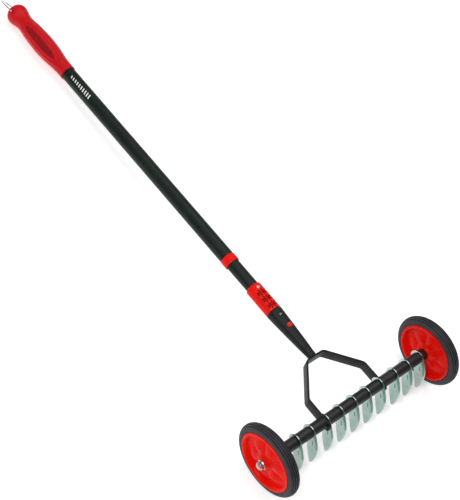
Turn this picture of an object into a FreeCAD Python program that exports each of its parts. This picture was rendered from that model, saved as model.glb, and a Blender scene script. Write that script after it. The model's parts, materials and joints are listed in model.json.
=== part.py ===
import FreeCAD, Part
import math
import os

# Wheeled lawn scarifier head on a telescopic handle, all sizes in millimetres.
# Pieces are drawn in the tool frame: X along the axle, Y along the handle towards the grip,
# Z up, origin at the middle of the axle. toFloor() then lays the tool on the floor.

# axle and blade stack
rodRadius = 4.0
rodHalfLength = 207.8
bladePitch = 31.0
bladeThickness = 1.5
bladeCount = 11
eyeRadius = 14.5
spacerLength = bladePitch - bladeThickness
spacerRadius = 10.4
spacerBore = 4.2
washerThickness = 1.6
washerRadius = 8.5
nutAcrossFlats = 13.0
lockNutHeight = 7.0
lockNutHexHeight = 5.0

# yoke, bent from flat bar
barThickness = 3.5
barWidth = 21.0
yokeOuterHalf = 2 * bladePitch + bladeThickness / 2 + barThickness
yokeTop = 100.0
yokeTopHalf = 19.0
yokeBend = 43.0
yokeFoot = 15.0
tangRadius = 5.0

# wheels
wheelCentre = 184.8
wheelHalfWidth = 10.7
rimRadius = 53.0
seatRadius = 48.0
tyreRadius = 65.5
hubRadius = 11.0
hubBore = 6.08
hubInner = 173.0
hubOuter = 198.1
hubPlay = 0.3
bushRadius = 6.0

# socket, release button and lower sleeve
socketStart = 101.0
socketEnd = 203.0
socketBore = 9.6
spigotRadius = 9.5
buttonPos = 165.8
buttonRadius = 4.6
buttonFlangeRadius = 5.3
buttonFlangeLow = 6.6
buttonFlangeHigh = 7.6
buttonPocketRadius = 5.6
screwPos = 189.8
rivetPos = 250.8
sleeveStart = 203.4
sleeveEnd = 260.4
sleeveRadius = 14.6

# telescopic tubes and twist lock
innerTubeRadius = 12.0
innerTubeBore = 10.8
innerTubeStart = 211.5
innerTubeEnd = 870.0
outerTubeRadius = 13.5
outerTubeBore = 12.3
outerTubeStart = 317.0
outerTubeEnd = 950.0
collarStart = 315.0
collarEnd = 330.2
collarRadius = 14.1
studRadius = 4.0
bushStart = 876.0
bushEnd = 904.0

# grip and hanging loop
gripStart = 806.5
gripEnd = 989.9
gripProfile = [
    (gripStart, 14.9), (822.8, 15.1), (833.7, 15.7), (844.6, 17.0), (855.5, 18.4), (866.4, 19.4),
    (877.4, 20.0), (885.0, 20.2), (893.8, 20.05), (904.7, 19.65), (915.7, 19.0), (926.6, 18.1),
    (936.6, 17.0), (941.4, 16.35), (946.1, 16.0), (951.6, 16.25), (957.1, 17.2), (962.6, 18.7),
    (968.1, 19.9), (972.9, 20.3), (978.7, 19.2), (984.1, 15.4), (988.3, 8.7), (gripEnd, 0),
]
loopPos = 973.5
loopHalfWidth = 21.8
loopLeg = 20.0
loopWire = 1.25
loopHole = 2.6
loopAngle = 44.0
loopTilt = 5.0

# lying pose
gripContactPos = 973.1
gripContactRadius = 20.3
leanAngle = math.degrees(math.asin((tyreRadius - gripContactRadius) / gripContactPos))
lengthMiddle = 474.85


def vec(x, y, z):
    return FreeCAD.Vector(x, y, z)


alongX = vec(1, 0, 0)
alongY = vec(0, 1, 0)
alongZ = vec(0, 0, 1)
centre = vec(0, 0, 0)


def polygonFace(points):
    return Part.Face(Part.makePolygon(points + [points[0]]))


def turnedX(profile):
    """Solid of revolution about X from (x, radius) corners."""
    return polygonFace([vec(x, 0, r) for x, r in profile]).revolve(centre, alongX, 360)


def turnedY(profile):
    """Solid of revolution about Y from (y, radius) corners."""
    return polygonFace([vec(r, y, 0) for y, r in profile]).revolve(centre, alongY, 360)


def ringX(outer, inner, x0, x1):
    return turnedX([(x0, inner), (x0, outer), (x1, outer), (x1, inner)])


def ringY(outer, inner, y0, y1):
    return turnedY([(y0, inner), (y0, outer), (y1, outer), (y1, inner)])


def endRing(outer, inner, x0, x1, side):
    low, high = sorted([side * x0, side * x1])
    return ringX(outer, inner, low, high)


def rod(radius, start, direction, length):
    return Part.makeCylinder(radius, length, start, direction)


def hexNut(x0, height):
    corner = nutAcrossFlats / math.sqrt(3)
    points = []
    for i in range(6):
        a = math.radians(60 * i)
        points.append(vec(x0, corner * math.cos(a), corner * math.sin(a)))
    body = polygonFace(points).extrude(vec(height, 0, 0))
    chamferCone = turnedX([
        (x0, 0), (x0, nutAcrossFlats / 2 + 0.1), (x0 + 0.9, corner + 0.1),
        (x0 + height - 0.9, corner + 0.1), (x0 + height, nutAcrossFlats / 2 + 0.1), (x0 + height, 0),
    ])
    return body.common(chamferCone).cut(rod(rodRadius + 0.02, vec(x0 - 1, 0, 0), alongX, height + 2))


def lockNut(x0, outward):
    """Hexagon part plus the crimped collar that holds the insert."""
    collarRound = 5.4
    if outward > 0:
        nut = hexNut(x0, lockNutHexHeight)
        ring = ringX(collarRound, rodRadius + 0.02, x0 + lockNutHexHeight, x0 + lockNutHeight)
    else:
        nut = hexNut(x0 - lockNutHexHeight, lockNutHexHeight)
        ring = ringX(collarRound, rodRadius + 0.02, x0 - lockNutHeight, x0 - lockNutHexHeight)
    return nut.fuse(ring).removeSplitter()


def bladePosition(index):
    step = index - (bladeCount - 1) // 2
    shift = 0.0
    if step > 2:
        shift = barThickness
    if step < -2:
        shift = -barThickness
    return step * bladePitch + shift


def bladeSolid(x):
    """Curved thatch blade: round eye at the axle, convex front edge, rounded tip."""
    left = x - bladeThickness / 2

    def at(y, z):
        return vec(left, y, z)

    front = Part.BSplineCurve()
    front.interpolate([
        at(-11.6, 8.7), at(-20.4, -3.2), at(-26.2, -12.6), at(-30.0, -25.0),
        at(-31.6, -39.0), at(-30.8, -51.0), at(-29.3, -58.2),
    ])
    back = Part.BSplineCurve()
    back.interpolate([at(-24.4, -59.9), at(-14.8, -44.6), at(-6.1, -29.6), at(2.6, -14.265)])
    tip = Part.Arc(at(-29.3, -58.2), at(-27.4, -61.6), at(-24.4, -59.9))
    eye = Part.Arc(at(2.6, -14.265), at(eyeRadius, 0), at(-11.6, 8.7))
    outline = Part.Wire([front.toShape(), tip.toShape(), back.toShape(), eye.toShape()])
    plate = Part.Face(outline).extrude(vec(bladeThickness, 0, 0))
    return plate.cut(rod(rodRadius + 0.1, vec(left - 1, 0, 0), alongX, bladeThickness + 2))


def edgesAgain(shape, wanted):
    """The shape's edges that lie where the wanted edges were."""
    middles = [edge.CenterOfMass for edge in wanted]
    return [e for e in shape.Edges if any((e.CenterOfMass - m).Length < 0.01 for m in middles)]


def yokeSolid():
    t = barThickness
    slope = math.atan2(yokeTop - yokeBend, yokeOuterHalf - yokeTopHalf)
    low = t * math.tan((math.pi / 2 - slope) / 2)
    top = t * math.tan(slope / 2)
    outer = [(-yokeOuterHalf, -yokeFoot), (-yokeOuterHalf, yokeBend), (-yokeTopHalf, yokeTop),
             (yokeTopHalf, yokeTop), (yokeOuterHalf, yokeBend), (yokeOuterHalf, -yokeFoot)]
    inner = [(yokeOuterHalf - t, -yokeFoot), (yokeOuterHalf - t, yokeBend - low),
             (yokeTopHalf - top, yokeTop - t), (-yokeTopHalf + top, yokeTop - t),
             (-yokeOuterHalf + t, yokeBend - low), (-yokeOuterHalf + t, -yokeFoot)]
    points = [vec(x, y, -barWidth / 2) for x, y in outer + inner]
    bar = polygonFace(points).extrude(vec(0, 0, barWidth))
    bends = []
    feet = []
    for edge in bar.Edges:
        middle = edge.CenterOfMass
        size = edge.BoundBox
        if size.ZLength > barWidth - 0.1 and middle.y > 0:
            bends.append(edge)
        if size.XLength > t - 0.1 and size.XLength < t + 0.1 and middle.y < -yokeFoot + 0.1:
            feet.append(edge)
    reach = [max(abs(e.CenterOfMass.x) - yokeOuterHalf, e.CenterOfMass.y - yokeTop) for e in bends]
    outside = [edge for edge, far in zip(bends, reach) if far > -0.1]
    inside = [e for e in bends if not any(e.isSame(o) for o in outside)]
    bar = bar.makeFillet(12.0, outside)
    bar = bar.makeFillet(8.0, edgesAgain(bar, inside))
    bar = bar.makeFillet(4.0, edgesAgain(bar, feet))
    return bar.cut(rod(rodRadius + 0.15, vec(-rodHalfLength, 0, 0), alongX, 2 * rodHalfLength))


def socketRadius(y):
    """Outer radius of the tapered socket."""
    table = [(101.0, 7.9), (108.0, 8.05), (120.0, 9.25), (153.0, 11.7), (198.0, 14.6), (203.0, 14.6)]
    for (y0, r0), (y1, r1) in zip(table, table[1:]):
        if y <= y1:
            return r0 + (r1 - r0) * (y - y0) / (y1 - y0)
    return table[-1][1]


def socketSolid():
    stations = [socketStart, 108.0, 120.0, 153.0, 198.0, socketEnd]
    profile = [(y, socketRadius(y)) for y in stations]
    profile += [(socketEnd, socketBore), (150.0, socketBore), (150.0, tangRadius + 0.05)]
    profile += [(socketStart, tangRadius + 0.05)]
    body = turnedY(profile)
    body = body.cut(rod(buttonRadius + 0.3, vec(0, buttonPos, 5), alongZ, 20))
    body = body.cut(rod(1.55, vec(0, screwPos, 5), alongZ, 20))
    return body.cut(rod(3.5, vec(0, screwPos, socketRadius(screwPos) - 1.2), alongZ, 5))


def spigotSolid():
    body = turnedY([
        (152.0, 0), (152.0, spigotRadius - 1), (153.0, spigotRadius), (203.6, spigotRadius),
        (203.6, 12.0), (211.2, 12.0), (211.2, innerTubeBore - 0.05), (265.0, innerTubeBore - 0.05),
        (265.0, 0),
    ])
    body = body.cut(rod(buttonPocketRadius, vec(0, buttonPos, -4.6), alongZ, 20))
    body = body.cut(rod(1.5, vec(0, screwPos, 4.9), alongZ, 20))
    return body.cut(rod(1.65, vec(0, rivetPos, 5.9), alongZ, 20))


def screwSolid():
    seat = socketRadius(screwPos) - 1.2
    shank = rod(1.45, vec(0, screwPos, 5.0), alongZ, seat - 5.0)
    head = rod(3.2, vec(0, screwPos, seat), alongZ, 1.9)
    slot = Part.makeBox(0.9, 8, 1.2, vec(-0.45, screwPos - 4, seat + 1.1))
    return shank.fuse(head).removeSplitter().cut(slot)


def rivetSolid():
    seat = sleeveRadius - 0.4
    profile = [vec(0, rivetPos, 6.0), vec(1.6, rivetPos, 6.0), vec(1.6, rivetPos, seat),
               vec(3.2, rivetPos, seat), vec(2.9, rivetPos, seat + 0.8), vec(1.8, rivetPos, seat + 1.4),
               vec(0, rivetPos, seat + 1.6)]
    return polygonFace(profile).revolve(vec(0, rivetPos, 0), alongZ, 360)


def buttonSolid():
    crown = socketRadius(buttonPos) + 0.8
    low = buttonFlangeLow
    high = buttonFlangeHigh
    profile = [vec(0, buttonPos, low), vec(buttonFlangeRadius, buttonPos, low),
               vec(buttonFlangeRadius, buttonPos, high), vec(buttonRadius, buttonPos, high),
               vec(buttonRadius, buttonPos, crown - 0.9),
               vec(buttonRadius - 0.9, buttonPos, crown - 0.2), vec(0, buttonPos, crown)]
    return polygonFace(profile).revolve(vec(0, buttonPos, 0), alongZ, 360)


def springSolid():
    wire = 0.4
    low = -4.55
    high = buttonFlangeLow - 0.05
    helix = Part.makeHelix(2.2, high - low - 2 * wire, 3.2)
    section = Part.Wire(Part.makeCircle(wire, vec(3.2, 0, 0), alongY))
    coil = Part.Wire(helix.Edges).makePipeShell([section], True, True)
    coil.translate(vec(0, buttonPos, low + wire))
    return coil


def sleeveSolid():
    body = turnedY([
        (sleeveStart, 12.05), (sleeveStart, sleeveRadius - 0.5), (sleeveStart + 0.5, sleeveRadius),
        (sleeveEnd - 3.0, sleeveRadius), (sleeveEnd - 0.9, sleeveRadius - 0.8),
        (sleeveEnd, sleeveRadius - 2.3), (sleeveEnd, 12.05),
    ])
    body = body.cut(rod(1.65, vec(0, rivetPos, 5), alongZ, 20))
    return body.cut(rod(3.25, vec(0, rivetPos, sleeveRadius - 0.4), alongZ, 5))


def innerTubeSolid():
    tube = ringY(innerTubeRadius, innerTubeBore, innerTubeStart, innerTubeEnd)
    return tube.cut(rod(1.65, vec(0, rivetPos, 5), alongZ, 20))


def collarSolid():
    return turnedY([
        (collarStart, innerTubeRadius + 0.3), (collarStart, collarRadius - 0.7),
        (collarStart + 0.7, collarRadius), (collarEnd - 0.3, collarRadius),
        (collarEnd, collarRadius - 0.3), (collarEnd, outerTubeRadius + 0.03),
        (outerTubeStart, outerTubeRadius + 0.03), (outerTubeStart, innerTubeRadius + 0.3),
    ])


def lockPlugSolid():
    return turnedY([
        (835.0, 0), (835.0, innerTubeBore - 0.05), (innerTubeEnd, innerTubeBore - 0.05),
        (innerTubeEnd, innerTubeRadius), (873.0, innerTubeRadius), (873.0, studRadius + 2),
        (bushStart - 0.3, studRadius + 2), (bushStart - 0.3, studRadius), (917.0, studRadius),
        (918.0, studRadius - 1), (918.0, 0),
    ])


def lockBushSolid():
    body = turnedY([
        (bushStart, studRadius + 0.05), (bushStart, outerTubeBore - 0.05),
        (bushEnd, outerTubeBore - 0.05), (bushEnd, 10.0), (bushStart + 12, 6.5),
        (bushStart + 12, studRadius + 0.05),
    ])
    slit = Part.makeBox(20, bushEnd - bushStart - 6, 2.0, vec(0, bushStart + 6, -1.0))
    return body.cut(slit)


def lockConeSolid():
    return turnedY([
        (bushStart + 12.8, studRadius + 0.05), (bushStart + 12.8, 6.4), (bushEnd + 0.8, 9.93),
        (bushEnd + 4.0, 9.93), (bushEnd + 4.0, studRadius + 0.05),
    ])


def gripSolid():
    contour = Part.BSplineCurve()
    contour.interpolate([vec(r, y, 0) for y, r in gripProfile])
    innerRadius = outerTubeRadius + 0.03
    corners = [vec(0, gripEnd, 0), vec(0, outerTubeEnd + 1, 0), vec(innerRadius, outerTubeEnd + 1, 0),
               vec(innerRadius, gripStart, 0), vec(gripProfile[0][1], gripStart, 0)]
    outline = Part.Wire([contour.toShape()] + Part.makePolygon(corners).Edges)
    body = Part.Face(outline).revolve(centre, alongY, 360)
    across = loopDirection()
    hole = rod(loopHole, vec(0, loopPos, 0) - across * 30, across, 60)
    return body.cut(hole)


def loopDirection():
    a = math.radians(loopAngle)
    return vec(-math.sin(a), 0, math.cos(a))


def loopSolid():
    """Closed wire loop: straight bar through the grip, two short legs and a half-round bow."""
    across = loopDirection()
    corner = 2.4

    def at(u, y):
        return vec(0, loopPos + y, 0) + across * u

    w = loopHalfWidth
    k = corner * (1 - math.sqrt(0.5))
    path = [
        Part.makeLine(at(0, 0), at(w - corner, 0)),
        Part.Arc(at(w - corner, 0), at(w - k, k), at(w, corner)).toShape(),
        Part.makeLine(at(w, corner), at(w, loopLeg)),
        Part.Arc(at(w, loopLeg), at(0, loopLeg + w), at(-w, loopLeg)).toShape(),
        Part.makeLine(at(-w, loopLeg), at(-w, corner)),
        Part.Arc(at(-w, corner), at(-w + k, k), at(-w + corner, 0)).toShape(),
        Part.makeLine(at(-w + corner, 0), at(0, 0)),
    ]
    section = Part.Wire(Part.makeCircle(loopWire, at(0, 0), across))
    loop = Part.Wire(path).makePipeShell([section], True, True)
    loop.rotate(at(0, 0), across, loopTilt)
    return loop


def rimSolid(side):
    c = wheelCentre
    h = wheelHalfWidth
    profile = [
        (hubInner, hubBore), (hubInner, hubRadius + 0.5), (c - 7.0, 18.0), (c - 4.5, 30.0), (c - 3.5, 45.0),
        (c - h + 0.6, 46.5), (c - h, 47.5), (c - h, rimRadius - 0.8), (c - h + 0.8, rimRadius),
        (c - h + 1.6, rimRadius), (c - h + 1.8, seatRadius), (c + h - 1.8, seatRadius),
        (c + h - 1.6, rimRadius), (c + h - 0.8, rimRadius), (c + h, rimRadius - 0.8),
        (c + h, 47.5), (c + h - 0.6, 46.5), (c + 4.5, 45.0), (c + 6.5, 30.0), (c + 9.0, 18.0),
        (hubOuter, hubRadius + 1), (hubOuter, hubBore),
    ]
    return turnedX([(side * x, r) for x, r in profile])


def tyreSolid(side):
    c = side * wheelCentre
    low = seatRadius + 0.05
    half = wheelHalfWidth - 2.0
    bulge = wheelHalfWidth - 0.9

    def at(x, r):
        return vec(c + x, 0, r)

    pieces = [
        Part.makeLine(at(-half, low), at(half, low)),
        Part.makeLine(at(half, low), at(half, rimRadius + 0.4)),
        Part.makeLine(at(half, rimRadius + 0.4), at(bulge, rimRadius + 1.6)),
        Part.Arc(at(bulge, rimRadius + 1.6), at(7.3, 62.4), at(2.5, tyreRadius)).toShape(),
        Part.makeLine(at(2.5, tyreRadius), at(-2.5, tyreRadius)),
        Part.Arc(at(-2.5, tyreRadius), at(-7.3, 62.4), at(-bulge, rimRadius + 1.6)).toShape(),
        Part.makeLine(at(-bulge, rimRadius + 1.6), at(-half, rimRadius + 0.4)),
        Part.makeLine(at(-half, rimRadius + 0.4), at(-half, low)),
    ]
    return Part.Face(Part.Wire(pieces)).revolve(centre, alongX, 360)


def toFloor(shape):
    """Lean the handle down until the grip touches the floor, then stand the wheels on z = 0."""
    placed = shape.copy()
    placed.rotate(centre, alongX, -leanAngle)
    placed.translate(vec(0, -lengthMiddle, tyreRadius))
    return placed


pieces = {
    "axle_rod": rod(rodRadius, vec(-rodHalfLength, 0, 0), alongX, 2 * rodHalfLength),
    "yoke": yokeSolid(),
    "yoke_tang": rod(tangRadius, vec(0, yokeTop, 0), alongY, 149.0 - yokeTop),
    "socket": socketSolid(),
    "socket_screw": screwSolid(),
    "spigot": spigotSolid(),
    "release_button": buttonSolid(),
    "button_spring": springSolid(),
    "handle_sleeve": sleeveSolid(),
    "sleeve_rivet": rivetSolid(),
    "inner_tube": innerTubeSolid(),
    "lock_plug": lockPlugSolid(),
    "lock_bush": lockBushSolid(),
    "lock_cone": lockConeSolid(),
    "outer_tube": ringY(outerTubeRadius, outerTubeBore, outerTubeStart, outerTubeEnd),
    "tube_collar": collarSolid(),
    "grip": gripSolid(),
    "hang_loop": loopSolid(),
}

for index in range(bladeCount):
    pieces["blade_%02d" % (index + 1)] = bladeSolid(bladePosition(index))

for index in range(bladeCount - 1):
    start = bladePosition(index) + bladeThickness / 2
    if index == 2:
        start = -yokeOuterHalf - spacerLength
    pieces["spacer_%02d" % (index + 1)] = ringX(spacerRadius, spacerBore, start, start + spacerLength)
    if index == 7:
        moved = yokeOuterHalf
        pieces["spacer_%02d" % (index + 1)] = ringX(spacerRadius, spacerBore, moved, moved + spacerLength)

stackEnd = bladePosition(bladeCount - 1) + bladeThickness / 2
bushInner = hubInner - hubPlay
bushOuter = hubOuter + hubPlay
washerOuter = bushOuter + washerThickness

for name, side in (("left", -1), ("right", 1)):
    pieces["hub_spacer_" + name] = endRing(spacerRadius, spacerBore, stackEnd, bushInner, side)
    pieces["wheel_bush_" + name] = endRing(bushRadius, rodRadius + 0.1, bushInner, bushOuter, side)
    pieces["wheel_rim_" + name] = rimSolid(side)
    pieces["tyre_" + name] = tyreSolid(side)
    pieces["hub_washer_" + name] = endRing(washerRadius, rodRadius + 0.1, bushOuter, washerOuter, side)
    pieces["lock_nut_" + name] = lockNut(side * washerOuter, side)

os.makedirs("parts", exist_ok=True)
for name in sorted(pieces):
    shape = toFloor(pieces[name])
    solid = shape.Solids[0] if len(shape.Solids) == 1 else shape
    solid.exportStep("parts/%s.step" % name)
    box = solid.BoundBox
    print(name, solid.isValid(), len(shape.Solids), round(solid.Volume, 1),
          [round(v, 2) for v in (box.XMin, box.YMin, box.ZMin, box.XMax, box.YMax, box.ZMax)])
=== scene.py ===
import json
import math
import bpy
from mathutils import Matrix, Vector


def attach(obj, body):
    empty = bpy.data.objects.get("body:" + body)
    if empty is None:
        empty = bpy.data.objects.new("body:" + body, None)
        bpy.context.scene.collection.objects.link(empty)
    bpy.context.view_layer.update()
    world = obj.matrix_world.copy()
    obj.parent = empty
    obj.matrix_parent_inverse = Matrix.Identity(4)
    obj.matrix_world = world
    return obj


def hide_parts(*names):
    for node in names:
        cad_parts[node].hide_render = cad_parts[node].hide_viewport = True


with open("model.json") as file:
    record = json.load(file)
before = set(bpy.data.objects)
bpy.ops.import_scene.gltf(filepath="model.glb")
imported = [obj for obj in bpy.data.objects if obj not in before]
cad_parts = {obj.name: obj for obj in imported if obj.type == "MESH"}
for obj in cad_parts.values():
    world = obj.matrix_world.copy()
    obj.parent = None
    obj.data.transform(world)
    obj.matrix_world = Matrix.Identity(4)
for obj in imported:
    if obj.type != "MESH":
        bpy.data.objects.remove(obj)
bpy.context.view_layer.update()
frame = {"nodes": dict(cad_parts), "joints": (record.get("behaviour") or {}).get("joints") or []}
jointOf = {joint["name"]: joint for joint in frame["joints"]}

# The tool's own axes: X along the axle, Y up the handle, Z away from the floor, origin in the axle.
# Everything is modelled there in millimetres, and finishPiece lays it down in metres.
axleLeft = Vector(jointOf["wheel_left_spin"]["pos_m"])
axleRight = Vector(jointOf["wheel_right_spin"]["pos_m"])
handleWay = Vector(jointOf["handle_extend"]["axis"]).normalized()
liftWay = Vector((1, 0, 0)).cross(handleWay)
toolToRow = Matrix((Vector((1, 0, 0)), handleWay, liftWay)).transposed().to_4x4()
toolToRow.translation = (axleLeft + axleRight) / 2
toolScale = toolToRow @ Matrix.Scale(0.001, 4)
rowToTool = toolScale.inverted()
wheelCentre = (axleRight - axleLeft).length * 500


def toolBox(node):      # a CAD node's lowest and highest corner in the tool's axes
    points = [rowToTool @ v.co for v in frame["nodes"][node].data.vertices]
    low = Vector([min(p[i] for p in points) for i in range(3)])
    high = Vector([max(p[i] for p in points) for i in range(3)])
    return low, high


def cleanStart():
    if bpy.context.object and bpy.context.object.mode != "OBJECT":
        bpy.ops.object.mode_set(mode="OBJECT")
    bpy.ops.object.select_all(action="DESELECT")


def takeUp(piece):
    cleanStart()
    piece.select_set(True)
    bpy.context.view_layer.objects.active = piece


def useModifier(piece, kind, **values):
    takeUp(piece)
    modifier = piece.modifiers.new(kind.lower(), kind)
    for key, value in values.items():
        setattr(modifier, key, value)
    bpy.ops.object.modifier_apply(modifier=modifier.name)


def roundEdges(piece, width, segments=2, angle=30):
    useModifier(piece, "BEVEL", width=width, segments=segments, limit_method="ANGLE",
                angle_limit=math.radians(angle))


def cutAway(piece, cutter):
    useModifier(piece, "BOOLEAN", object=cutter, operation="DIFFERENCE", solver="EXACT")
    bpy.data.objects.remove(cutter, do_unlink=True)


def blockCutter(size):
    cleanStart()
    bpy.ops.mesh.primitive_cube_add(size=1, scale=size)
    bpy.ops.object.transform_apply(scale=True)
    return bpy.context.object


def drillAcross(piece, radius, depth):      # a round hole along the axle
    cleanStart()
    bpy.ops.mesh.primitive_cylinder_add(vertices=40, radius=radius, depth=depth, rotation=(0, math.pi / 2, 0))
    cutAway(piece, bpy.context.object)


def pushOut(piece, amount, weightOf, direction="NORMAL"):      # moves each vertex by amount times its weight
    group = piece.vertex_groups.new(name="push")
    for vertex in piece.data.vertices:
        weight = weightOf(vertex.co)
        if weight > 0:
            group.add([vertex.index], min(weight, 1), "REPLACE")
    useModifier(piece, "DISPLACE", strength=amount, mid_level=0, vertex_group=group.name, direction=direction)
    piece.vertex_groups.clear()


def drawLine(name, points, closed=False):       # a line of edges, left open in edit mode, all selected
    cleanStart()
    bpy.ops.mesh.primitive_plane_add(size=1)
    piece = bpy.context.object
    piece.name = name
    bpy.ops.object.mode_set(mode="EDIT")
    bpy.ops.mesh.merge(type="CENTER")
    here = Vector()
    route = list(points) + list(points[:1]) if closed else list(points)
    for number, point in enumerate(route):
        step = Vector(point) - here
        if number == 0:
            bpy.ops.transform.translate(value=step)
        else:
            bpy.ops.mesh.extrude_region_move(TRANSFORM_OT_translate={"value": step})
        here = Vector(point)
    bpy.ops.mesh.select_all(action="SELECT")
    bpy.ops.mesh.remove_doubles(threshold=0.0005)
    return piece


def closeMesh():
    bpy.ops.mesh.select_all(action="SELECT")
    bpy.ops.mesh.remove_doubles(threshold=0.0005)
    bpy.ops.mesh.normals_make_consistent(inside=False)
    bpy.ops.object.mode_set(mode="OBJECT")


def turnedPiece(name, outline, way, steps=96):      # outline holds (along, radius) corners, spun round the way
    place = {"X": lambda a, r: (a, 0, r), "Y": lambda a, r: (0, a, r), "Z": lambda a, r: (r, 0, a)}[way]
    axis = {"X": (1, 0, 0), "Y": (0, 1, 0), "Z": (0, 0, 1)}[way]
    piece = drawLine(name, [place(a, r) for a, r in outline], closed=True)
    bpy.ops.mesh.spin(steps=steps, angle=2 * math.pi, center=(0, 0, 0), axis=axis)
    closeMesh()
    return piece


def movePiece(piece, move=(0, 0, 0), turn=0, about="Z"):
    takeUp(piece)
    piece.matrix_world = Matrix.Translation(move) @ Matrix.Rotation(math.radians(turn), 4, about)
    bpy.ops.object.transform_apply(location=True, rotation=True, scale=True)


def joinPieces(pieces):
    takeUp(pieces[0])
    for piece in pieces[1:]:
        piece.select_set(True)
    bpy.ops.object.join()
    return bpy.context.object


def copyPiece(piece, name):
    twin = piece.copy()
    twin.data = piece.data.copy()
    twin.name = name
    bpy.context.scene.collection.objects.link(twin)
    return twin


def smoothLine(points, spans):      # a smooth curve through the points, spans steps between each two
    curve = []
    for i in range(len(points) - 1):
        a, b, c, d = [points[min(max(i + k, 0), len(points) - 1)] for k in (-1, 0, 1, 2)]
        for step in range(spans):
            t = step / spans
            curve.append(tuple(0.5 * (2 * q + (r - p) * t + (2 * p - 5 * q + 4 * r - s) * t * t
                                      + (3 * q - p - 3 * r + s) * t ** 3) for p, q, r, s in zip(a, b, c, d)))
    return curve + [tuple(points[-1])]


def finishPiece(piece, name, body, slotName, material, *nodes, angle=32):
    takeUp(piece)
    piece.name = name
    piece.data.name = name
    piece.matrix_world = toolScale @ piece.matrix_world
    bpy.ops.object.transform_apply(location=True, rotation=True, scale=True)
    bpy.ops.object.shade_smooth_by_angle(angle=math.radians(angle))
    if not piece.data.materials:
        piece.data.materials.append(material)
    piece.data.materials[0] = material
    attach(piece, body)
    if nodes:
        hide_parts(*nodes)
    return piece


def smoothStep(value):
    t = min(max(value, 0), 1)
    return t * t * (3 - 2 * t)


def tone(red, green, blue):     # a display colour from 0 to 1 as linear light
    colour = (red, green, blue)
    return tuple(c / 12.92 if c <= 0.04045 else ((c + 0.055) / 1.055) ** 2.4 for c in colour) + (1,)


def addNode(material, kind, **inputs):
    node = material.node_tree.nodes.new("ShaderNode" + kind)
    for key, value in inputs.items():
        node.inputs[key].default_value = value
    return node


def makeFinish(name, look):
    material = bpy.data.materials.new(name)
    material.use_nodes = True
    link = material.node_tree.links.new
    shader = material.node_tree.nodes["Principled BSDF"]
    for key, value in look["shader"].items():
        shader.inputs[key].default_value = value
    place = addNode(material, "TexCoord")
    drift = addNode(material, "TexNoise", Scale=look["driftScale"], Detail=4, Roughness=0.55)
    ramp = addNode(material, "ValToRGB")
    ramp.color_ramp.elements[0].position = 0.36
    ramp.color_ramp.elements[1].position = 0.64
    ramp.color_ramp.elements[0].color = tone(*look["low"])
    ramp.color_ramp.elements[1].color = tone(*look["high"])
    link(place.outputs["Object"], drift.inputs["Vector"])
    link(drift.outputs["Fac"], ramp.inputs["Fac"])
    smear = addNode(material, "TexNoise", Scale=look["smearScale"], Detail=5, Roughness=0.6)
    spread = addNode(material, "MapRange")
    spread.inputs["From Min"].default_value = 0.3
    spread.inputs["From Max"].default_value = 0.7
    spread.inputs["To Min"].default_value = look["roughness"][0]
    spread.inputs["To Max"].default_value = look["roughness"][1]
    link(place.outputs["Object"], smear.inputs["Vector"])
    link(smear.outputs["Fac"], spread.inputs["Value"])
    link(spread.outputs["Result"], shader.inputs["Roughness"])
    grain = addNode(material, "TexNoise", Scale=look["grainScale"], Detail=2, Roughness=0.5)
    bump = addNode(material, "Bump", Strength=look["grainStrength"], Distance=look["grainDepth"])
    link(place.outputs["Object"], grain.inputs["Vector"])
    link(grain.outputs["Fac"], bump.inputs["Height"])
    link(bump.outputs["Normal"], shader.inputs["Normal"])
    link(ramp.outputs["Color"], shader.inputs["Base Color"])
    return material


def addWear(material, wear, low, high):      # sharp corners rub to a lighter tone
    link = material.node_tree.links.new
    shader = material.node_tree.nodes["Principled BSDF"]
    ground = shader.inputs["Base Color"].links[0].from_socket
    corner = addNode(material, "NewGeometry")
    span = addNode(material, "MapRange")
    span.inputs["From Min"].default_value = low
    span.inputs["From Max"].default_value = high
    mix = addNode(material, "MixRGB")
    mix.inputs["Color2"].default_value = tone(*wear)
    link(corner.outputs["Pointiness"], span.inputs["Value"])
    link(span.outputs["Result"], mix.inputs["Fac"])
    link(ground, mix.inputs["Color1"])
    link(mix.outputs["Color"], shader.inputs["Base Color"])


def addSpangle(material, scale, depth):      # the small crystals of a zinc coat
    link = material.node_tree.links.new
    shader = material.node_tree.nodes["Principled BSDF"]
    ground = shader.inputs["Base Color"].links[0].from_socket
    place = addNode(material, "TexCoord")
    cells = addNode(material, "TexVoronoi", Scale=scale)
    value = addNode(material, "MapRange")
    value.inputs["To Min"].default_value = 1 - depth
    value.inputs["To Max"].default_value = 1 + depth
    mix = addNode(material, "VectorMath")
    mix.operation = "SCALE"
    link(place.outputs["Object"], cells.inputs["Vector"])
    link(cells.outputs["Color"], value.inputs["Value"])
    link(ground, mix.inputs[0])
    link(value.outputs["Result"], mix.inputs["Scale"])
    link(mix.outputs["Vector"], shader.inputs["Base Color"])


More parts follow.
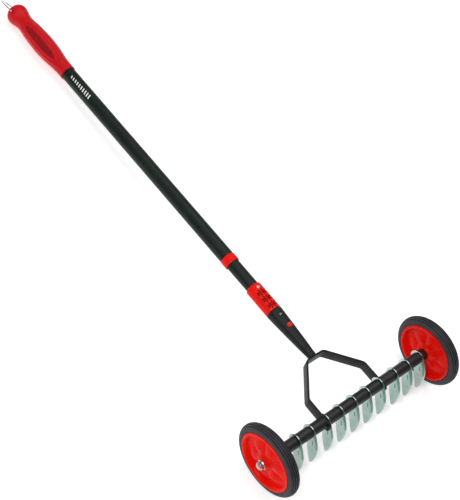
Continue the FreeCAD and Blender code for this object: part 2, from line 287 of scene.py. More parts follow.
finishes = {
    "wheelRed": dict(low=(0.88, 0.04, 0.0), high=(0.92, 0.07, 0.01), driftScale=25, smearScale=60,
                     roughness=(0.3, 0.4), grainScale=1500, grainStrength=0.12, grainDepth=0.0002,
                     shader={"Specular IOR Level": 0.08}),
    "fittingRed": dict(low=(0.89, 0.06, 0.01), high=(0.92, 0.09, 0.03), driftScale=60, smearScale=120,
                       roughness=(0.34, 0.46), grainScale=1800, grainStrength=0.15, grainDepth=0.0002,
                       shader={"Specular IOR Level": 0.12}),
    "buttonRed": dict(low=(0.8, 0.1, 0.08), high=(0.85, 0.13, 0.1), driftScale=120, smearScale=200,
                      roughness=(0.4, 0.5), grainScale=1800, grainStrength=0.15, grainDepth=0.0001,
                      shader={"Specular IOR Level": 0.2}),
    "gripRed": dict(low=(0.76, 0.03, 0.08), high=(0.8, 0.05, 0.1), driftScale=40, smearScale=90,
                    roughness=(0.38, 0.5), grainScale=2200, grainStrength=0.2, grainDepth=0.0002,
                    shader={"Specular IOR Level": 0.18}),
    "panelRed": dict(low=(0.46, 0.02, 0.05), high=(0.54, 0.03, 0.07), driftScale=90, smearScale=200,
                     roughness=(0.55, 0.7), grainScale=2200, grainStrength=0.3, grainDepth=0.0002,
                     shader={"Specular IOR Level": 0.2}),
    # painted shade for the star cuts in the sleeve: the sleeve's red, darkened
    "starCutPaintedShade": dict(low=(0.13, 0.025, 0.02), high=(0.19, 0.035, 0.03), driftScale=90, smearScale=200,
                       roughness=(0.6, 0.75), grainScale=1800, grainStrength=0.2, grainDepth=0.0002,
                       shader={"Specular IOR Level": 0.1}),
    "tyreRubber": dict(low=(0.19, 0.19, 0.21), high=(0.23, 0.23, 0.25), driftScale=70, smearScale=150,
                       roughness=(0.5, 0.66), grainScale=1200, grainStrength=0.3, grainDepth=0.0003,
                       shader={"Specular IOR Level": 0.22}),
    # painted shade for the tyre's grooves: the same rubber, darkened
    "groovePaintedShade": dict(low=(0.11, 0.11, 0.12), high=(0.14, 0.14, 0.15), driftScale=70, smearScale=150,
                        roughness=(0.7, 0.85), grainScale=1200, grainStrength=0.3, grainDepth=0.0003,
                        shader={"Specular IOR Level": 0.1}),
    "tubeCoat": dict(low=(0.05, 0.1, 0.08), high=(0.07, 0.125, 0.1), driftScale=18, smearScale=40,
                     roughness=(0.36, 0.48), grainScale=1400, grainStrength=0.18, grainDepth=0.0002,
                     shader={"Specular IOR Level": 0.2}),
    "socketBlack": dict(low=(0.06, 0.09, 0.08), high=(0.085, 0.115, 0.105), driftScale=45, smearScale=100,
                        roughness=(0.42, 0.55), grainScale=1700, grainStrength=0.3, grainDepth=0.0002,
                        shader={"Specular IOR Level": 0.2}),
    "yokeBlack": dict(low=(0.05, 0.06, 0.06), high=(0.07, 0.085, 0.08), driftScale=50, smearScale=120,
                      roughness=(0.4, 0.55), grainScale=1100, grainStrength=0.35, grainDepth=0.0003,
                      shader={"Specular IOR Level": 0.2}),
    "spacerBlack": dict(low=(0.1, 0.1, 0.105), high=(0.14, 0.135, 0.145), driftScale=60, smearScale=140,
                        roughness=(0.34, 0.48), grainScale=1500, grainStrength=0.2, grainDepth=0.0002,
                        shader={"Specular IOR Level": 0.3}),
    "bladeZinc": dict(low=(0.65, 0.745, 0.715), high=(0.7, 0.79, 0.76), driftScale=55, smearScale=220,
                      roughness=(0.09, 0.18), grainScale=900, grainStrength=0.06, grainDepth=0.0002,
                      shader={"Metallic": 1.0}),
    "stampDark": dict(low=(0.27, 0.35, 0.33), high=(0.34, 0.42, 0.4), driftScale=90, smearScale=220,
                      roughness=(0.5, 0.6), grainScale=900, grainStrength=0.1, grainDepth=0.0002,
                      shader={"Metallic": 0.5}),
    "brightZinc": dict(low=(0.66, 0.67, 0.68), high=(0.74, 0.74, 0.74), driftScale=150, smearScale=260,
                       roughness=(0.18, 0.3), grainScale=1300, grainStrength=0.08, grainDepth=0.0001,
                       shader={"Metallic": 1.0}),
    "dullZinc": dict(low=(0.68, 0.68, 0.68), high=(0.76, 0.76, 0.76), driftScale=150, smearScale=260,
                     roughness=(0.35, 0.5), grainScale=1300, grainStrength=0.1, grainDepth=0.0001,
                     shader={"Metallic": 0.9}),
    "screwDark": dict(low=(0.42, 0.43, 0.42), high=(0.5, 0.5, 0.49), driftScale=150, smearScale=260,
                      roughness=(0.3, 0.45), grainScale=1300, grainStrength=0.1, grainDepth=0.0001,
                      shader={"Metallic": 0.9}),
    "springWire": dict(low=(0.7, 0.73, 0.73), high=(0.78, 0.8, 0.8), driftScale=120, smearScale=300,
                       roughness=(0.2, 0.3), grainScale=1600, grainStrength=0.08, grainDepth=0.0001,
                       shader={"Metallic": 1.0}),
    "nylonGrey": dict(low=(0.42, 0.42, 0.43), high=(0.48, 0.48, 0.49), driftScale=60, smearScale=120,
                      roughness=(0.45, 0.55), grainScale=1700, grainStrength=0.2, grainDepth=0.0002,
                      shader={"Specular IOR Level": 0.4}),
    "markWhite": dict(low=(0.86, 0.87, 0.86), high=(0.93, 0.93, 0.92), driftScale=300, smearScale=300,
                      roughness=(0.45, 0.6), grainScale=2500, grainStrength=0.2, grainDepth=0.0001,
                      shader={"Specular IOR Level": 0.3}),
}
finish = {name: makeFinish(name, look) for name, look in finishes.items()}
addSpangle(finish["bladeZinc"], 260, 0.05)
addWear(finish["yokeBlack"], (0.3, 0.31, 0.31), 0.56, 0.66)
print("finishes made")


viewSettings = dict(
    place=(-1.0632, -0.3524, 1.6902),       # from the axle, along the tool's axes, metres
    aim=(0.0147, 0.3406, 0.0),
    roll=22.0,
    lens=88.2,
    sky=0.24,
    lamps=[
        dict(name="keyLamp", place=(0.9, 0.3, 2.7), aim=(0, 0, 0), size=2.6, power=46),
        dict(name="fillLamp", place=(-1.5, -0.2, 2.5), aim=(0, -0.3, 0), size=0.9, power=34),
    ],
    floorGlow=0.45,
    floorSize=40.0,
)


def makeCamera():
    place = Vector(viewSettings["place"])
    look = Vector(viewSettings["aim"]) - place
    data = bpy.data.cameras.new("camera")
    data.lens = viewSettings["lens"]
    data.clip_end = 50
    camera = bpy.data.objects.new("camera", data)
    bpy.context.scene.collection.objects.link(camera)
    turn = look.to_track_quat("-Z", "Y").to_matrix().to_4x4()
    roll = Matrix.Rotation(math.radians(viewSettings["roll"]), 4, "Z")
    camera.matrix_world = toolToRow @ Matrix.Translation(place) @ turn @ roll
    bpy.context.scene.camera = camera


def makeLight():
    scene = bpy.context.scene
    scene.view_settings.view_transform = "Standard"
    world = bpy.data.worlds.new("sky")
    scene.world = world
    world.use_nodes = True
    background = world.node_tree.nodes["Background"]
    background.inputs["Color"].default_value = (1, 1, 1, 1)
    background.inputs["Strength"].default_value = viewSettings["sky"]
    for lamp in viewSettings["lamps"]:
        data = bpy.data.lights.new(lamp["name"], "AREA")
        data.size = lamp["size"]
        data.energy = lamp["power"]
        light = bpy.data.objects.new(lamp["name"], data)
        scene.collection.objects.link(light)
        way = Vector(lamp["aim"]) - Vector(lamp["place"])
        turn = way.to_track_quat("-Z", "Y").to_matrix().to_4x4()
        light.matrix_world = Matrix.Translation(lamp["place"]) @ turn


def makeFloor():
    cleanStart()
    bpy.ops.mesh.primitive_plane_add(size=viewSettings["floorSize"], location=(0, 0, -0.0003))
    floor = bpy.context.object
    floor.name = "floor"
    material = makeFinish("floorPaper", dict(
        low=(0.95, 0.95, 0.95), high=(0.965, 0.965, 0.965), driftScale=2, smearScale=8, roughness=(0.8, 0.9),
        grainScale=500, grainStrength=0.05, grainDepth=0.0002,
        shader={"Specular IOR Level": 0.1, "Emission Color": (1, 1, 1, 1),
                "Emission Strength": viewSettings["floorGlow"]}))
    floor.data.materials.append(material)


makeCamera()
makeLight()
makeFloor()
print("camera, light and floor made")


rimLook = dict(
    lipHalf=10.7, lipOuter=53.0, lipInner=47.6, wallRoot=44.6, seatRadius=48.0, hubBore=6.08, hubRadius=11.5,
    outFace=[(2.9, 43.6), (3.0, 37.0), (4.0, 29.0), (6.6, 18.5), (10.4, 13.6)], hubOut=13.3,
    inFace=[(-1.9, 43.6), (-2.0, 37.0), (-2.6, 29.0), (-4.8, 18.5), (-8.8, 13.2)], hubIn=-11.8,
    spans=3, steps=180, creaseAngle=60,
    petals=6, petalHeight=5.2, petalCrown=27, petalFall=0.8, petalPower=0.85,
)


def petalWeight(radius, angle):     # pleats round the disc, with a ridge between each two creases
    r = rimLook
    start, crown, root = r["hubRadius"] + 1.5, r["petalCrown"], r["wallRoot"]
    if radius <= start or radius > root + 0.5:
        return 0
    climb = smoothStep((radius - start) / (crown - start))
    fall = 1 - r["petalFall"] * smoothStep((radius - crown) / (root - crown))
    share = ((angle - r["creaseAngle"]) * r["petals"] / 360) % 1
    return climb * fall * abs(math.sin(math.pi * share)) ** r["petalPower"]


def rimFace(face, disc, hub):       # from the lip's outer corner down the wall, over the disc to the bore
    r = rimLook
    root = disc[0][0]
    points = [(face * r["lipHalf"] * 0.93, r["lipOuter"]), (face * r["lipHalf"], r["lipOuter"] - 0.9),
              (face * r["lipHalf"], r["lipInner"] + 1.2), (face * (r["lipHalf"] - 0.7), r["lipInner"]),
              (root + face * 2.6, r["wallRoot"] + 1.2), (root + face * 0.8, r["wallRoot"] + 0.6)]
    points += smoothLine(disc, r["spans"])
    return points + [(hub - face * 1.2, r["hubRadius"] + 0.8), (hub - face * 0.3, r["hubRadius"]),
                     (hub, r["hubRadius"] - 0.4), (hub, r["hubBore"] + 0.4), (hub - face * 0.4, r["hubBore"])]


def makeRim(side, body, node):
    r = rimLook
    outer = rimFace(1, r["outFace"], r["hubOut"])
    inner = rimFace(-1, r["inFace"], r["hubIn"])
    seat = [(-r["lipHalf"] + 1.6, r["lipOuter"]), (-r["lipHalf"] + 1.9, r["seatRadius"]),
            (r["lipHalf"] - 1.9, r["seatRadius"]), (r["lipHalf"] - 1.6, r["lipOuter"])]
    outline = [(side * a, radius) for a, radius in outer + inner[::-1] + seat]
    rim = turnedPiece("rim", outline, "X", r["steps"])

    def weight(co):
        return petalWeight(math.hypot(co.y, co.z), math.degrees(math.atan2(co.z, -co.y)))

    pushOut(rim, side * r["petalHeight"], lambda co: weight(co) if co.x * side > 0 else 0, "X")
    pushOut(rim, -side * r["petalHeight"], lambda co: weight(co) if co.x * side <= 0 else 0, "X")
    movePiece(rim, (side * wheelCentre, 0, 0))
    finishPiece(rim, node, body, "wheel_red", finish["wheelRed"], node, angle=40)


tyreLook = dict(
    seat=48.05, halfSeat=8.7, bulge=9.8, shoulder=54.6, crown=65.5, roundness=0.82,
    grooves=5, grooveStep=22.0, grooveHalf=4.6, grooveFloor=3.2, grooveDepth=0.9, steps=160,
)


def tyreOutline():
    t = tyreLook

    def onCrown(angle, depth=0.0):
        a = math.radians(angle)
        high = t["crown"] - t["shoulder"]
        across = t["bulge"] * math.sin(a) * (1 - depth / 20)
        return (across, t["shoulder"] + high * math.cos(a) ** t["roundness"] - depth)

    points = [(-t["halfSeat"], t["seat"]), (-t["halfSeat"], 53.2), (-t["bulge"] * 0.97, 53.9)]
    points += [onCrown(a) for a in (-88, -80, -70, -62)]
    first = -(t["grooves"] - 1) / 2 * t["grooveStep"]
    for number in range(t["grooves"]):
        middle = first + number * t["grooveStep"]
        points += [onCrown(middle - t["grooveStep"] / 2), onCrown(middle - t["grooveHalf"]),
                   onCrown(middle - t["grooveFloor"], t["grooveDepth"]),
                   onCrown(middle + t["grooveFloor"], t["grooveDepth"]), onCrown(middle + t["grooveHalf"])]
    points += [onCrown(a) for a in (55, 62, 70, 80, 88)]
    points += [(t["bulge"] * 0.97, 53.9), (t["halfSeat"], 53.2), (t["halfSeat"], t["seat"])]
    return points


def makeTyre(side, body, node):
    t = tyreLook
    tyre = turnedPiece("tyre", tyreOutline(), "X", t["steps"])
    tyre.data.materials.append(finish["tyreRubber"])
    tyre.data.materials.append(finish["groovePaintedShade"])
    # faces down in the grooves take the darkened rubber, painted shade in the grooves
    for face in tyre.data.polygons:
        angle = math.degrees(math.asin(max(-1, min(1, face.center.x / t["bulge"]))))
        last = (t["grooves"] - 1) // 2
        nearest = min(max(round(angle / t["grooveStep"]), -last), last) * t["grooveStep"]
        if abs(angle - nearest) < t["grooveHalf"] and math.hypot(face.center.y, face.center.z) > t["shoulder"]:
            face.material_index = 1
    movePiece(tyre, (side * wheelCentre, 0, 0))
    finishPiece(tyre, node, body, "tyre_rubber", finish["tyreRubber"], node, angle=28)


for side, word in ((-1, "left"), (1, "right")):
    makeRim(side, "wheel_" + word, "wheel_rim_" + word)
    makeTyre(side, "wheel_" + word, "tyre_" + word)
print("wheels made")


rodLook = dict(radius=4.0, threadLength=17.0, pitch=1.25, threadDepth=0.55, steps=48)


def makeRod():
    low, high = toolBox("axle_rod")
    r = rodLook
    end = high.x
    thread = []
    x = end - r["threadLength"]
    while x < end - r["pitch"]:
        thread += [(x, r["radius"]), (x + r["pitch"] * 0.55, r["radius"] - r["threadDepth"])]
        x += r["pitch"]
    half = thread + [(end - 1.0, r["radius"] - 0.1), (end, r["radius"] - 0.9), (end, 0)]
    outline = [(-a, radius) for a, radius in half[::-1]] + half
    rod = turnedPiece("rod", outline, "X", r["steps"])
    finishPiece(rod, "axle_rod", "head", "zinc_fastener", finish["brightZinc"], "axle_rod", angle=25)


spacerLook = dict(bore=4.2, chamfer=0.35, steps=72)


def makeSpacer(node):
    low, high = toolBox(node)
    s = spacerLook
    radius = high.z
    outline = [(low.x, s["bore"]), (low.x, radius - s["chamfer"]), (low.x + s["chamfer"], radius),
               (high.x - s["chamfer"], radius), (high.x, radius - s["chamfer"]), (high.x, s["bore"])]
    spacer = turnedPiece("spacer", outline, "X", s["steps"])
    finishPiece(spacer, node, "head", "spacer_black", finish["spacerBlack"], node, angle=25)


bladeLook = dict(
    thickness=1.5, edge=0.22, eye=14.5, eyeSteps=20, bore=4.1,
    front=[(-11.6, 8.7), (-20.4, -3.2), (-26.2, -12.6), (-30.0, -25.0), (-31.6, -39.0), (-30.8, -51.0),
           (-29.3, -58.2)],
    tip=[(-28.9, -60.2), (-27.2, -61.5), (-25.3, -61.1)],
    back=[(-24.4, -59.9), (-14.8, -44.6), (-6.1, -29.6), (2.6, -14.265)],
    stamp=(-14.4, -15.6), stampLength=9.0, stampWidth=1.5, stampTurn=63, stampDepth=0.3,
)


def makeBlade():
    b = bladeLook
    eyeFrom = math.atan2(b["back"][-1][1], b["back"][-1][0])
    eyeTo = math.atan2(b["front"][0][1], b["front"][0][0])
    turns = [eyeFrom + (eyeTo - eyeFrom) * k / b["eyeSteps"] for k in range(1, b["eyeSteps"])]
    eye = [(b["eye"] * math.cos(turn), b["eye"] * math.sin(turn)) for turn in turns]
    outline = smoothLine(b["front"], 6) + b["tip"] + smoothLine(b["back"], 4) + eye
    blade = drawLine("blade", [(-b["thickness"] / 2, y, z) for y, z in outline], closed=True)
    bpy.ops.mesh.edge_face_add()
    bpy.ops.mesh.extrude_region_move(TRANSFORM_OT_translate={"value": (b["thickness"], 0, 0)})
    closeMesh()
    roundEdges(blade, b["edge"], 2, 50)
    drillAcross(blade, b["bore"], 6)
    stamp = blockCutter((b["stampDepth"] * 2, b["stampLength"], b["stampWidth"]))
    movePiece(stamp, (-b["thickness"] / 2, *b["stamp"]), b["stampTurn"], "X")
    cutAway(blade, stamp)
    blade.data.materials.append(finish["bladeZinc"])
    blade.data.materials.append(finish["stampDark"])
    for face in blade.data.polygons:
        away = math.hypot(face.center.y - b["stamp"][0], face.center.z - b["stamp"][1])
        if away < b["stampLength"] * 0.52 and -b["thickness"] / 2 + 0.02 < face.center.x < 0:
            face.material_index = 1
    return blade


makeRod()
for node in sorted(name for name in frame["nodes"] if name.startswith(("spacer_", "hub_spacer_"))):
    makeSpacer(node)
firstBlade = makeBlade()
for number in range(1, 12):
    node = "blade_%02d" % number
    low, high = toolBox(node)
    blade = copyPiece(firstBlade, node)
    movePiece(blade, ((low.x + high.x) / 2, 0, 0))
    finishPiece(blade, node, "head", "zinc_blade", finish["bladeZinc"], node, angle=30)
bpy.data.objects.remove(firstBlade, do_unlink=True)
print("axle, spacers and blades made")


yokeLook = dict(
    thickness=3.5, width=21.0, bendRadius=10.0, bendSteps=7, legOut=64.5, legTop=42.37,
    headOut=18.18, headTop=98.25, foot=-15.0, footRound=6.0, edge=0.8, hole=4.15,
)


def bentPath(corners, radius, steps):       # straight runs joined by arcs
    points = [corners[0]]
    for before, corner, after in zip(corners, corners[1:], corners[2:]):
        goIn, goOut = (corner - before).normalized(), (after - corner).normalized()
        turn = goIn.angle(goOut)
        back = radius * math.tan(turn / 2)
        start = corner - goIn * back
        side = (goOut - goIn * goIn.dot(goOut)).normalized()
        for step in range(steps + 1):
            a = turn * step / steps
            points.append(start + goIn * radius * math.sin(a) + side * radius * (1 - math.cos(a)))
    return points + [corners[-1]]


def makeYoke():
    y = yokeLook
    half = [Vector((y["legOut"], y["foot"], 0)), Vector((y["legOut"], y["legTop"], 0)),
            Vector((y["headOut"], y["headTop"], 0))]
    corners = [Vector((-p.x, p.y, 0)) for p in half] + half[::-1]
    path = bentPath(corners, y["bendRadius"], y["bendSteps"])
    yoke = drawLine("yoke", [p + Vector((0, 0, -y["width"] / 2)) for p in path])
    bpy.ops.mesh.extrude_region_move(TRANSFORM_OT_translate={"value": (0, 0, y["width"])})
    closeMesh()
    useModifier(yoke, "SOLIDIFY", thickness=y["thickness"], offset=0, use_even_offset=True)
    for edge in yoke.data.edges:
        a, b = [yoke.data.vertices[i].co for i in edge.vertices]
        atFoot = max(a.y, b.y) < y["foot"] + 0.1
        edge.select = atFoot and abs(a.x - b.x) > 1 and abs(a.z) > y["width"] / 2 - 0.1
    chosen = [edge.index for edge in yoke.data.edges if edge.select]
    takeUp(yoke)
    bpy.ops.object.mode_set(mode="EDIT")
    bpy.ops.mesh.select_all(action="DESELECT")
    bpy.ops.mesh.select_mode(type="EDGE")
    bpy.ops.object.mode_set(mode="OBJECT")
    for index in chosen:
        yoke.data.edges[index].select = True
    bpy.ops.object.mode_set(mode="EDIT")
    bpy.ops.mesh.bevel(offset=y["footRound"], segments=6, affect="EDGES")
    bpy.ops.mesh.select_mode(type="VERT")
    bpy.ops.object.mode_set(mode="OBJECT")
    roundEdges(yoke, y["edge"], 3, 40)
    drillAcross(yoke, y["hole"], 200)
    finishPiece(yoke, "yoke", "head", "frame_black", finish["yokeBlack"], "yoke", angle=30)


makeYoke()
print("yoke made")


socketLook = dict(
    profile=[(101.0, 7.0), (101.6, 7.7), (103.5, 8.0), (108.0, 8.15), (114.0, 8.7), (120.0, 9.3), (135.0, 10.4),
             (153.0, 11.7), (175.0, 13.15), (192.0, 14.2), (198.0, 14.55), (201.8, 14.6), (202.6, 14.35),
             (203.0, 13.8)],
    tangBore=5.05, bore=9.6, boreFrom=150.0, rimGap=0.3, screwSeat=3.6, steps=96,
)


def radiusAt(profile, along):
    for (y0, r0), (y1, r1) in zip(profile, profile[1:]):
        if along <= y1:
            return r0 + (r1 - r0) * (along - y0) / (y1 - y0)
    return profile[-1][1]


def socketRadius(along):
    return radiusAt(socketLook["profile"], along)


def drillDown(piece, along, radius, low, high, vertices=48):      # a round hole down from above the handle
    cleanStart()
    bpy.ops.mesh.primitive_cylinder_add(vertices=vertices, radius=radius, depth=high - low,
                                        location=(0, along, (high + low) / 2))
    cutAway(piece, bpy.context.object)


def makeSocket(buttonAlong, buttonRadius, screwAlong):
    s = socketLook
    start, end = s["profile"][0][0], s["profile"][-1][0]
    outline = s["profile"] + [(end, s["bore"]), (s["boreFrom"], s["bore"]), (s["boreFrom"], s["tangBore"]),
                              (start, s["tangBore"])]
    socket = turnedPiece("socket", outline, "Y", s["steps"])
    drillDown(socket, buttonAlong, buttonRadius + s["rimGap"], 5, 25)
    drillDown(socket, buttonAlong, buttonRadius + 1.3, socketRadius(buttonAlong) - 0.5, 25)
    drillDown(socket, screwAlong, 1.6, 5, 25)
    drillDown(socket, screwAlong, s["screwSeat"], socketRadius(screwAlong) - 1.2, 25)
    finishPiece(socket, "socket", "head", "socket_black", finish["socketBlack"], "socket", angle=30)


buttonLook = dict(
    flange=5.3, flangeTop=7.6, radius=4.6, foot=6.6, edge=0.8, dish=0.3,
    hollow=3.85, hollowTop=11.6,        # room for the spring when the button is down
)


def makeButton():
    low, high = toolBox("release_button")
    b = buttonLook
    middle = (low.y + high.y) / 2
    radius = b["radius"]
    top = high.z
    outline = [(b["hollowTop"], 0), (b["hollowTop"], b["hollow"]), (b["foot"], b["hollow"]),
               (b["foot"], b["flange"]), (b["flangeTop"], b["flange"]), (b["flangeTop"], radius),
               (top - b["edge"], radius), (top - b["edge"] * 0.5, radius - 0.12), (top - 0.15, radius - 0.35),
               (top, radius - 0.8), (top - b["dish"] * 0.5, radius - 1.6), (top - b["dish"], 0)]
    button = turnedPiece("button", outline, "Z", 48)
    movePiece(button, (0, middle, 0))
    finishPiece(button, "release_button", "button", "red_plastic", finish["buttonRed"],
                "release_button", angle=35)
    return middle, radius


screwLook = dict(shank=1.45, seatDrop=1.2, slot=(0.95, 4.0, 2.4), slotRise=1.6, slotTurns=(20, 110),
                 head=[(0, 3.1), (0.5, 3.2), (0.9, 2.9), (1.3, 2.2), (1.5, 1.2), (1.55, 0)])


def makeScrew():
    low, high = toolBox("socket_screw")
    w = screwLook
    middle = (low.y + high.y) / 2
    seat = socketRadius(middle) - w["seatDrop"]
    outline = [(low.z, 0), (low.z, w["shank"]), (seat, w["shank"])]
    outline += [(seat + rise, radius) for rise, radius in w["head"]]
    screw = turnedPiece("screw", outline, "Z", 48)
    for turn in w["slotTurns"]:
        slot = blockCutter(w["slot"])
        movePiece(slot, (0, 0, seat + w["slotRise"]), turn)
        cutAway(screw, slot)
    movePiece(screw, (0, middle, 0))
    finishPiece(screw, "socket_screw", "head", "zinc_fastener", finish["screwDark"], "socket_screw", angle=30)
    return middle


buttonAlong, buttonRadius = makeButton()
makeSocket(buttonAlong, buttonRadius, makeScrew())
print("socket made")


sleeveLook = dict(
    bore=12.05, edge=0.6, steps=120, starAlong=(211.8, 225.8, 239.8), starTurn=-6.0, starStrokes=8,
    strokeFrom=0.9, strokeTo=6.1, strokeNarrow=0.7, strokeWide=2.8, strokeTall=3.0,
    starStretch=1.5, starDepth=1.0,
)


def starStroke(radius, along, number):      # one tapered stroke, lying on the sleeve's skin
    s = sleeveLook
    turn = 2 * math.pi * (number + 0.5) / s["starStrokes"]
    aim = Vector((s["starStretch"] * math.sin(turn), math.cos(turn), 0))
    middle = aim * (s["strokeFrom"] + s["strokeTo"]) / 2
    cleanStart()
    bpy.ops.mesh.primitive_cylinder_add(vertices=4, radius=1, depth=s["strokeTall"],
                                        rotation=(0, 0, math.pi / 4))
    stroke = bpy.context.object
    bpy.ops.object.transform_apply(rotation=True)
    for v in stroke.data.vertices:
        width = s["strokeWide"] if v.co.y > 0 else s["strokeNarrow"]
        length = (s["strokeTo"] - s["strokeFrom"]) * aim.length / 2
        rise = v.co.z + s["strokeTall"] / 2 - s["starDepth"]
        v.co = Vector((math.copysign(width / 2, v.co.x), math.copysign(length, v.co.y), rise))
    lay = Matrix.Rotation(math.atan2(-aim.x, aim.y), 4, "Z")
    around = Matrix.Rotation(math.radians(s["starTurn"]) + middle.x / radius, 4, "Y")
    place = Matrix.Translation((0, along + middle.y, 0))
    stroke.matrix_world = place @ around @ Matrix.Translation((0, 0, radius)) @ lay
    return stroke


def starCutter(radius):
    strokes = [starStroke(radius, along, number)
               for along in sleeveLook["starAlong"] for number in range(sleeveLook["starStrokes"])]
    cutter = joinPieces(strokes)
    bpy.ops.object.transform_apply(location=True, rotation=True, scale=True)
    return cutter


def makeSleeve():
    low, high = toolBox("handle_sleeve")
    s = sleeveLook
    radius = high.x
    outline = [(low.y, s["bore"]), (low.y, radius - s["edge"]),
               (low.y + s["edge"] * 0.3, radius - s["edge"] * 0.3), (low.y + s["edge"], radius),
               (high.y - 3.4, radius), (high.y - 2.2, radius - 0.2),
               (high.y - 1.2, radius - 0.75), (high.y - 0.4, radius - 1.6), (high.y, radius - 2.3),
               (high.y, s["bore"])]
    sleeve = turnedPiece("sleeve", outline, "Y", s["steps"])
    cutAway(sleeve, starCutter(radius))
    rivetLow, rivetHigh = toolBox("sleeve_rivet")
    middle = (rivetLow.y + rivetHigh.y) / 2
    drillDown(sleeve, middle, 1.7, 5, 25)
    drillDown(sleeve, middle, 3.3, radius - 0.4, 25)
    sleeve.data.materials.append(finish["fittingRed"])
    sleeve.data.materials.append(finish["starCutPaintedShade"])
    # faces inside the star cuts take the darkened red, painted shade in the cuts
    for face in sleeve.data.polygons:
        out = math.hypot(face.center.x, face.center.z)
        inStars = s["starAlong"][0] - 8 < face.center.y < s["starAlong"][2] + 8
        if inStars and s["bore"] + 0.4 < out < radius - 0.25:
            face.material_index = 1
    finishPiece(sleeve, "handle_sleeve", "head", "red_plastic", finish["fittingRed"],
                "handle_sleeve", angle=30)
    return middle, rivetHigh.z


def makeRivet(middle, top):
    outline = [(6.0, 0), (6.0, 1.6), (top - 1.6, 1.6), (top - 1.6, 3.2), (top - 1.2, 3.15), (top - 0.7, 2.8),
               (top - 0.25, 2.1), (top - 0.2, 1.3), (top - 0.6, 1.0), (top - 0.6, 0)]
    rivet = turnedPiece("rivet", outline, "Z", 48)
    movePiece(rivet, (0, middle, 0))
    finishPiece(rivet, "sleeve_rivet", "head", "zinc_fastener", finish["dullZinc"], "sleeve_rivet", angle=35)


makeRivet(*makeSleeve())
print("sleeve made")


collarLook = dict(
    bore=12.3, tubeBore=13.53, step=2.0, edge=0.7, groove=0.35, steps=96, slot=(4.0, 1.6, 1.2), slotTurn=-15,
)


def makeCollar():
    low, high = toolBox("tube_collar")
    c = collarLook
    radius = high.x
    outline = [(low.y, c["bore"]), (low.y, radius - c["edge"]), (low.y + 0.25, radius - 0.25),
               (low.y + c["edge"], radius), (low.y + 2.4, radius), (low.y + 2.7, radius - c["groove"]),
               (low.y + 3.3, radius - c["groove"]), (low.y + 3.6, radius), (high.y - 0.5, radius),
               (high.y - 0.1, radius - 0.2), (high.y, radius - 0.4), (high.y, c["tubeBore"]),
               (low.y + c["step"], c["tubeBore"]), (low.y + c["step"], c["bore"])]
    collar = turnedPiece("collar", outline, "Y", c["steps"])
    slot = blockCutter(c["slot"])
    movePiece(slot, (0, 0, radius))
    movePiece(slot, (0, (low.y + high.y) / 2 + 2, 0), c["slotTurn"], "Y")
    cutAway(collar, slot)
    finishPiece(collar, "tube_collar", "handle", "red_plastic", finish["fittingRed"], "tube_collar", angle=35)


markLook = dict(
    start=734.0, step=6.0, dashes=10, width=2.6, height=8.4, shrink=0.05, slant=2.4, turn=-30, lift=0.06,
)


def makeMark():
    m = markLook
    radius = toolBox("outer_tube")[1].x + m["lift"]
    dashes = []
    for number in range(m["dashes"]):
        cleanStart()
        bpy.ops.mesh.primitive_grid_add(x_subdivisions=10, y_subdivisions=2, size=1)
        dash = bpy.context.object
        height = m["height"] * (1 - m["shrink"] * number)
        for v in dash.data.vertices:
            around = v.co.x * height
            along = m["start"] + number * m["step"] + v.co.y * m["width"] + v.co.x * m["slant"]
            a = math.radians(m["turn"]) + around / radius
            v.co = Vector((radius * math.sin(a), along, radius * math.cos(a)))
        dashes.append(dash)
    mark = joinPieces(dashes)
    useModifier(mark, "SOLIDIFY", thickness=0.05, offset=-1)
    finishPiece(mark, "tube_mark", "handle", "tube_dark", finish["markWhite"])


makeCollar()
makeMark()
print("tubes made")


gripLook = dict(
    profile=[(806.5, 14.9), (814.0, 14.95), (822.8, 15.1), (833.7, 15.7), (844.6, 17.0), (855.5, 18.4),
             (866.4, 19.4), (877.4, 20.0), (885.0, 20.2), (893.8, 20.05), (904.7, 19.65), (915.7, 19.0),
             (926.6, 18.1), (936.6, 17.0), (941.4, 16.35), (946.1, 16.0), (951.6, 16.25), (957.1, 17.2),
             (962.6, 18.7), (968.1, 19.9), (972.9, 20.3), (978.7, 19.2), (984.1, 15.4), (988.3, 8.7), (989.9, 0)],
    spans=8, steps=144, tubeEnd=951.0, bore=13.53, turn=-39.0, holeTurn=-44.0,
    panelMiddle=886.0, panelHalf=45.0, panelWide=20.0, panelPower=4.0, panelDepth=0.9, panelEdge=4.0,
    ridgeHalf=66.0, ridgeWide=40.0, ridgeWidth=9.0, ridgeHeight=1.1,
    pipRow=2.5, pipGap=2.3, pipRadius=0.8, pipHeight=0.62, pipSink=0.4, pipMargin=3.5,
    holeRadius=2.6, holeAlong=973.5,
)


def panelAngle(co):     # degrees from the nearer panel's middle line
    angle = (math.degrees(math.atan2(co.x, co.z)) - gripLook["turn"] + 180) % 360 - 180
    return 180 - abs(angle) if abs(angle) > 90 else abs(angle)


def lensWidth(along, middle, half, wide):
    share = (along - middle) / half
    return wide * math.sqrt(max(0, 1 - abs(share) ** gripLook["panelPower"]))


def panelWeight(co):
    g = gripLook
    if math.hypot(co.x, co.z) < g["bore"] + 0.8:
        return 0
    wide = lensWidth(co.y, g["panelMiddle"], g["panelHalf"], g["panelWide"])
    return smoothStep((wide - panelAngle(co)) / g["panelEdge"])


def ridgeWeight(co):
    g = gripLook
    if math.hypot(co.x, co.z) < g["bore"] + 0.8:
        return 0
    wide = lensWidth(co.y, g["panelMiddle"], g["ridgeHalf"], g["ridgeWide"])
    fade = smoothStep(wide / g["ridgeWide"] * 1.6 - 0.2)
    return fade * smoothStep(1 - abs(panelAngle(co) - wide) / g["ridgeWidth"])


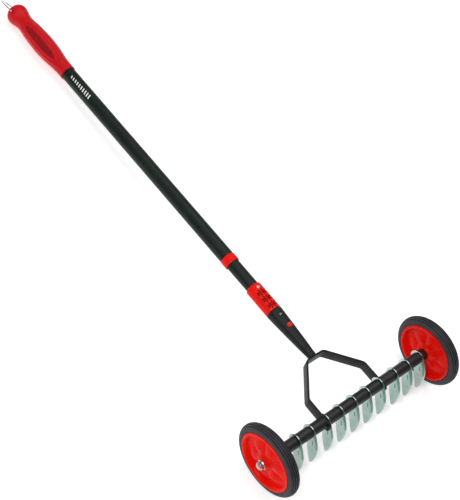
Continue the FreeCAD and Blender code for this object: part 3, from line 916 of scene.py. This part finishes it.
def makeGrip():
    g = gripLook
    contour = smoothLine(g["profile"], g["spans"])
    inside = [(g["tubeEnd"], 0), (g["tubeEnd"], g["bore"]), (g["profile"][0][0], g["bore"])]
    grip = turnedPiece("grip", contour + inside, "Y", g["steps"])
    pushOut(grip, -g["panelDepth"], panelWeight)
    pushOut(grip, g["ridgeHeight"], ridgeWeight)
    across = Matrix.Rotation(math.radians(g["holeTurn"]), 4, "Y")
    cleanStart()
    bpy.ops.mesh.primitive_cylinder_add(vertices=48, radius=g["holeRadius"], depth=60)
    hole = bpy.context.object
    hole.matrix_world = Matrix.Translation((0, g["holeAlong"], 0)) @ across
    bpy.ops.object.transform_apply(location=True, rotation=True, scale=True)
    cutAway(grip, hole)
    grip.data.materials.append(finish["gripRed"])
    grip.data.materials.append(finish["panelRed"])
    for face in grip.data.polygons:
        if panelWeight(face.center) > 0.35:
            face.material_index = 1
    finishPiece(grip, "grip", "handle", "grip_red", finish["gripRed"], "grip", angle=35)


def makePips():
    g = gripLook
    cleanStart()
    bpy.ops.mesh.primitive_ico_sphere_add(subdivisions=1, radius=1)
    pip = bpy.context.object
    pips = []
    rows = int(2 * g["panelHalf"] / g["pipRow"])
    for row in range(rows + 1):
        along = g["panelMiddle"] - g["panelHalf"] + row * g["pipRow"]
        radius = radiusAt(g["profile"], along) - g["panelDepth"]
        wide = lensWidth(along, g["panelMiddle"], g["panelHalf"], g["panelWide"]) - g["pipMargin"]
        gap = math.degrees(g["pipGap"] / radius)
        count = int(wide / gap)
        for column in range(-count, count + 1):
            for face in (0, 180):
                angle = g["turn"] + face + column * gap
                lay = Matrix.Rotation(math.radians(angle), 4, "Y")
                size = Matrix.Diagonal((g["pipRadius"], g["pipRadius"], g["pipHeight"] * 2, 1))
                twin = copyPiece(pip, "pip")
                out = Matrix.Translation((0, 0, radius - g["pipSink"]))
                twin.matrix_world = Matrix.Translation((0, along, 0)) @ lay @ out @ size
                pips.append(twin)
    bpy.data.objects.remove(pip, do_unlink=True)
    allPips = joinPieces(pips)
    finishPiece(allPips, "grip_pips", "handle", "grip_red", finish["gripRed"], angle=60)
    print("pips:", len(pips))


makeGrip()
makePips()
print("grip made")


# the CAD pieces that keep their shape only take a better finish
keepFinish = {
    "yoke_tang": "yokeBlack", "spigot": "nylonGrey", "button_spring": "springWire", "inner_tube": "tubeCoat",
    "outer_tube": "tubeCoat", "lock_plug": "nylonGrey", "lock_bush": "nylonGrey", "lock_cone": "nylonGrey",
    "hang_loop": "springWire", "wheel_bush_left": "brightZinc", "wheel_bush_right": "brightZinc",
    "hub_washer_left": "brightZinc", "hub_washer_right": "brightZinc",
    "lock_nut_left": "brightZinc", "lock_nut_right": "brightZinc",
}
for node, look in keepFinish.items():
    frame["nodes"][node].data.materials.clear()
    frame["nodes"][node].data.materials.append(finish[look])
